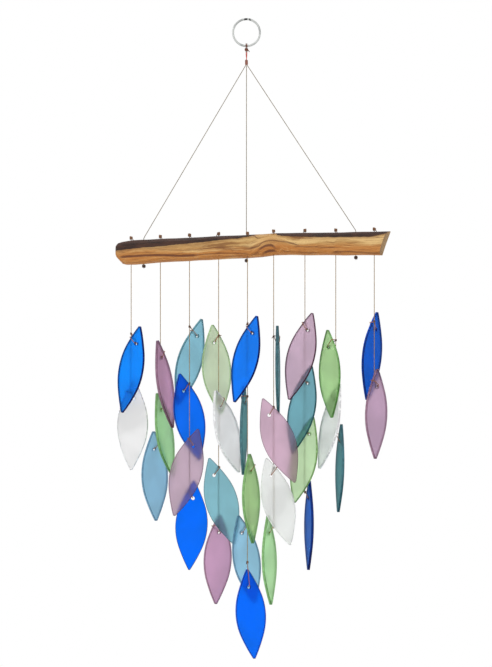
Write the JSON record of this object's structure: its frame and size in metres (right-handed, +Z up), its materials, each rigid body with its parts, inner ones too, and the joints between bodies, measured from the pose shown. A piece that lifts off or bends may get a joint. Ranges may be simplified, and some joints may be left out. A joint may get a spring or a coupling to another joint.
{
  "type": "glass wind chime",
  "caption": "Wind chime of drilled frosted-glass leaves knotted on strings under a driftwood beam, hung by cords from a split ring.",
  "frame": {"origin": "middle of the hole of the split ring that the chime hangs from", "axes": "+X along the beam to its sawn end, +Y to the back, +Z up, against gravity"},
  "size_m": [0.305, 0.0573, 0.7097],
  "materials": {
    "ring_steel": "satin",
    "red_cord": "waxed cord",
    "knots": "waxed cord",
    "string": "thin twisted cord",
    "driftwood": "weathered, bare, with a band of bark",
    "glass_blue": "frosted sheet glass with ground edges",
    "glass_light_blue": "frosted sheet glass with ground edges",
    "glass_teal": "frosted sheet glass with ground edges",
    "glass_dark_teal": "frosted sheet glass with ground edges",
    "glass_mauve": "frosted sheet glass with ground edges",
    "glass_green": "frosted sheet glass with ground edges",
    "glass_pale_green": "frosted sheet glass with ground edges",
    "glass_white": "frosted sheet glass with ground edges"
  },
  "bodies": {
    "ring": {"split_ring": "ring_steel"},
    "hitch": {"ring_hitch": "red_cord"},
    "cord": {"hanging_cord": "red_cord"},
    "beam": {"driftwood_beam": "driftwood", "gathering_knot": "knots", "suspension_line_left": "string", "suspension_line_middle": "string", "suspension_line_right": "string", "suspension_stop_knots": "knots", "string_top_knots": "knots"},
    "strand_1": {"string_1": "string"},
    "strand_2": {"string_2": "string"},
    "strand_3": {"string_3": "string"},
    "strand_4": {"string_4": "string"},
    "strand_5": {"string_5": "string"},
    "strand_6": {"string_6": "string"},
    "strand_7": {"string_7": "string"},
    "strand_8": {"string_8": "string"},
    "strand_9": {"string_9": "string"},
    "leaf_1_1": {"leaf_1_1": "glass_blue"},
    "leaf_1_2": {"leaf_1_2": "glass_white"},
    "leaf_2_1": {"leaf_2_1": "glass_mauve"},
    "leaf_2_2": {"leaf_2_2": "glass_green"},
    "leaf_2_3": {"leaf_2_3": "glass_light_blue"},
    "leaf_3_1": {"leaf_3_1": "glass_teal"},
    "leaf_3_2": {"leaf_3_2": "glass_blue"},
    "leaf_3_3": {"leaf_3_3": "glass_mauve"},
    "leaf_3_4": {"leaf_3_4": "glass_blue"},
    "leaf_4_1": {"leaf_4_1": "glass_pale_green"},
    "leaf_4_2": {"leaf_4_2": "glass_white"},
    "leaf_4_3": {"leaf_4_3": "glass_teal"},
    "leaf_4_4": {"leaf_4_4": "glass_mauve"},
    "leaf_5_1": {"leaf_5_1": "glass_blue"},
    "leaf_5_2": {"leaf_5_2": "glass_dark_teal"},
    "leaf_5_3": {"leaf_5_3": "glass_green"},
    "leaf_5_4": {"leaf_5_4": "glass_light_blue"},
    "leaf_5_5": {"leaf_5_5": "glass_blue"},
    "leaf_6_1": {"leaf_6_1": "glass_dark_teal"},
    "leaf_6_2": {"leaf_6_2": "glass_mauve"},
    "leaf_6_3": {"leaf_6_3": "glass_white"},
    "leaf_6_4": {"leaf_6_4": "glass_green"},
    "leaf_7_1": {"leaf_7_1": "glass_mauve"},
    "leaf_7_2": {"leaf_7_2": "glass_teal"},
    "leaf_7_3": {"leaf_7_3": "glass_pale_green"},
    "leaf_7_4": {"leaf_7_4": "glass_blue"},
    "leaf_8_1": {"leaf_8_1": "glass_green"},
    "leaf_8_2": {"leaf_8_2": "glass_white"},
    "leaf_8_3": {"leaf_8_3": "glass_teal"},
    "leaf_9_1": {"leaf_9_1": "glass_blue"},
    "leaf_9_2": {"leaf_9_2": "glass_mauve"}
  },
  "joints": [
    {"name": "ring_rock", "type": "hinge", "parent": "ring", "child": "hitch", "pos_m": [0, 0, -0.0149], "axis": [1, 0, 0], "range_deg": [-60, 60]},
    {"name": "cord_swing", "type": "hinge", "parent": "hitch", "child": "cord", "pos_m": [0, 0, -0.02209], "axis": [0, 1, 0], "range_deg": [-30, 30]},
    {"name": "beam_turn", "type": "hinge", "parent": "cord", "child": "beam", "pos_m": [0, 0, -0.02984], "axis": [0, 0, 1], "range_deg": [-360, 360]},
    {"name": "strand_1_sway", "type": "hinge", "parent": "beam", "child": "strand_1", "pos_m": [-0.12792, 0, -0.25842], "axis": [1, 0, 0], "range_deg": [-30, 30]},
    {"name": "strand_2_sway", "type": "hinge", "parent": "beam", "child": "strand_2", "pos_m": [-0.09559, 0.00297, -0.25627], "axis": [1, 0, 0], "range_deg": [-30, 30]},
    {"name": "strand_3_sway", "type": "hinge", "parent": "beam", "child": "strand_3", "pos_m": [-0.06326, 0.00202, -0.25452], "axis": [1, 0, 0], "range_deg": [-30, 30]},
    {"name": "strand_4_sway", "type": "hinge", "parent": "beam", "child": "strand_4", "pos_m": [-0.03093, 0.00202, -0.25285], "axis": [1, 0, 0], "range_deg": [-30, 30]},
    {"name": "strand_5_sway", "type": "hinge", "parent": "beam", "child": "strand_5", "pos_m": [0.0011, -0.00702, -0.25125], "axis": [1, 0, 0], "range_deg": [-30, 30]},
    {"name": "strand_6_sway", "type": "hinge", "parent": "beam", "child": "strand_6", "pos_m": [0.03007, -0.00594, -0.24846], "axis": [1, 0, 0], "range_deg": [-30, 30]},
    {"name": "strand_7_sway", "type": "hinge", "parent": "beam", "child": "strand_7", "pos_m": [0.06484, 0.00202, -0.24807], "axis": [1, 0, 0], "range_deg": [-30, 30]},
    {"name": "strand_8_sway", "type": "hinge", "parent": "beam", "child": "strand_8", "pos_m": [0.099, 0, -0.24807], "axis": [1, 0, 0], "range_deg": [-30, 30]},
    {"name": "strand_9_sway", "type": "hinge", "parent": "beam", "child": "strand_9", "pos_m": [0.1417, 0, -0.24834], "axis": [1, 0, 0], "range_deg": [-30, 30]},
    {"name": "leaf_1_1_turn", "type": "hinge", "parent": "strand_1", "child": "leaf_1_1", "pos_m": [-0.12792, 0, -0.33392], "axis": [0, 0, 1], "range_deg": [0, 45]},
    {"name": "leaf_1_2_turn", "type": "hinge", "parent": "strand_1", "child": "leaf_1_2", "pos_m": [-0.12792, 0, -0.39842], "axis": [0, 0, 1], "range_deg": [-45, 0]},
    {"name": "leaf_2_1_turn", "type": "hinge", "parent": "strand_2", "child": "leaf_2_1", "pos_m": [-0.09559, 0.00297, -0.35177], "axis": [0, 0, 1], "range_deg": [0, 15]},
    {"name": "leaf_2_2_turn", "type": "hinge", "parent": "strand_2", "child": "leaf_2_2", "pos_m": [-0.09559, 0.00297, -0.40677], "axis": [0, 0, 1], "range_deg": [-15, 0]},
    {"name": "leaf_2_3_turn", "type": "hinge", "parent": "strand_2", "child": "leaf_2_3", "pos_m": [-0.09559, 0.00297, -0.45477], "axis": [0, 0, 1], "range_deg": [0, 45]},
    {"name": "leaf_3_1_turn", "type": "hinge", "parent": "strand_3", "child": "leaf_3_1", "pos_m": [-0.06326, 0.00202, -0.32602], "axis": [0, 0, 1], "range_deg": [-35, 0]},
    {"name": "leaf_3_2_turn", "type": "hinge", "parent": "strand_3", "child": "leaf_3_2", "pos_m": [-0.06326, 0.00202, -0.38902], "axis": [0, 0, 1], "range_deg": [-10, 45]},
    {"name": "leaf_3_3_turn", "type": "hinge", "parent": "strand_3", "child": "leaf_3_3", "pos_m": [-0.06326, 0.00202, -0.45052], "axis": [0, 0, 1], "range_deg": [-30, 20]},
    {"name": "leaf_3_4_turn", "type": "hinge", "parent": "strand_3", "child": "leaf_3_4", "pos_m": [-0.06326, 0.00202, -0.50952], "axis": [0, 0, 1], "range_deg": [-20, 35]},
    {"name": "leaf_4_1_turn", "type": "hinge", "parent": "strand_4", "child": "leaf_4_1", "pos_m": [-0.03093, 0.00202, -0.33636], "axis": [0, 0, 1], "range_deg": [-10, 45]},
    {"name": "leaf_4_2_turn", "type": "hinge", "parent": "strand_4", "child": "leaf_4_2", "pos_m": [-0.03093, 0.00202, -0.40636], "axis": [0, 0, 1], "range_deg": [-15, 10]},
    {"name": "leaf_4_3_turn", "type": "hinge", "parent": "strand_4", "child": "leaf_4_3", "pos_m": [-0.03093, 0.00202, -0.48185], "axis": [0, 0, 1], "range_deg": [-5, 45]},
    {"name": "leaf_4_4_turn", "type": "hinge", "parent": "strand_4", "child": "leaf_4_4", "pos_m": [-0.03093, 0.00202, -0.54736], "axis": [0, 0, 1], "range_deg": [-45, 30]},
    {"name": "leaf_5_1_turn", "type": "hinge", "parent": "strand_5", "child": "leaf_5_1", "pos_m": [0.0011, -0.00702, -0.32275], "axis": [0, 0, 1], "range_deg": [-45, 45]},
    {"name": "leaf_5_2_turn", "type": "hinge", "parent": "strand_5", "child": "leaf_5_2", "pos_m": [0.0011, -0.00702, -0.40325], "axis": [0, 0, 1], "range_deg": [-45, 15]},
    {"name": "leaf_5_3_turn", "type": "hinge", "parent": "strand_5", "child": "leaf_5_3", "pos_m": [0.0011, -0.00702, -0.47925], "axis": [0, 0, 1], "range_deg": [-15, 10]},
    {"name": "leaf_5_4_turn", "type": "hinge", "parent": "strand_5", "child": "leaf_5_4", "pos_m": [0.0011, -0.00702, -0.54625], "axis": [0, 0, 1], "range_deg": [0, 25]},
    {"name": "leaf_5_5_turn", "type": "hinge", "parent": "strand_5", "child": "leaf_5_5", "pos_m": [0.0011, -0.00702, -0.58675], "axis": [0, 0, 1], "range_deg": [-25, 30]},
    {"name": "leaf_6_1_turn", "type": "hinge", "parent": "strand_6", "child": "leaf_6_1", "pos_m": [0.03007, -0.00594, -0.33696], "axis": [0, 0, 1], "range_deg": [-20, 45]},
    {"name": "leaf_6_2_turn", "type": "hinge", "parent": "strand_6", "child": "leaf_6_2", "pos_m": [0.03007, -0.00594, -0.41496], "axis": [0, 0, 1], "range_deg": [-10, 0]},
    {"name": "leaf_6_3_turn", "type": "hinge", "parent": "strand_6", "child": "leaf_6_3", "pos_m": [0.03007, -0.00594, -0.48246], "axis": [0, 0, 1], "range_deg": [-10, 10]},
    {"name": "leaf_6_4_turn", "type": "hinge", "parent": "strand_6", "child": "leaf_6_4", "pos_m": [0.03007, -0.00594, -0.54746], "axis": [0, 0, 1], "range_deg": [-45, 10]},
    {"name": "leaf_7_1_turn", "type": "hinge", "parent": "strand_7", "child": "leaf_7_1", "pos_m": [0.06484, 0.00202, -0.32157], "axis": [0, 0, 1], "range_deg": [-15, 5]},
    {"name": "leaf_7_2_turn", "type": "hinge", "parent": "strand_7", "child": "leaf_7_2", "pos_m": [0.06484, 0.00202, -0.38057], "axis": [0, 0, 1], "range_deg": [-5, 0]},
    {"name": "leaf_7_3_turn", "type": "hinge", "parent": "strand_7", "child": "leaf_7_3", "pos_m": [0.06484, 0.00202, -0.43457], "axis": [0, 0, 1], "range_deg": [0, 10]},
    {"name": "leaf_7_4_turn", "type": "hinge", "parent": "strand_7", "child": "leaf_7_4", "pos_m": [0.06484, 0.00202, -0.50957], "axis": [0, 0, 1], "range_deg": [-10, 45]},
    {"name": "leaf_8_1_turn", "type": "hinge", "parent": "strand_8", "child": "leaf_8_1", "pos_m": [0.099, 0, -0.34107], "axis": [0, 0, 1], "range_deg": [-35, 0]},
    {"name": "leaf_8_2_turn", "type": "hinge", "parent": "strand_8", "child": "leaf_8_2", "pos_m": [0.099, 0, -0.39807], "axis": [0, 0, 1], "range_deg": [0, 20]},
    {"name": "leaf_8_3_turn", "type": "hinge", "parent": "strand_8", "child": "leaf_8_3", "pos_m": [0.099, 0, -0.44557], "axis": [0, 0, 1], "range_deg": [-20, 45]},
    {"name": "leaf_9_1_turn", "type": "hinge", "parent": "strand_9", "child": "leaf_9_1", "pos_m": [0.1417, 0, -0.32033], "axis": [0, 0, 1], "range_deg": [-45, 15]},
    {"name": "leaf_9_2_turn", "type": "hinge", "parent": "strand_9", "child": "leaf_9_2", "pos_m": [0.1417, 0, -0.38583], "axis": [0, 0, 1], "range_deg": [-15, 45]}
  ],
  "couplings": [
    {"joint": "strand_2_sway", "follows": "strand_5_sway", "ratio": 1},
    {"joint": "strand_3_sway", "follows": "strand_5_sway", "ratio": 1},
    {"joint": "strand_4_sway", "follows": "strand_5_sway", "ratio": 1},
    {"joint": "strand_7_sway", "follows": "strand_6_sway", "ratio": 1}
  ]
}
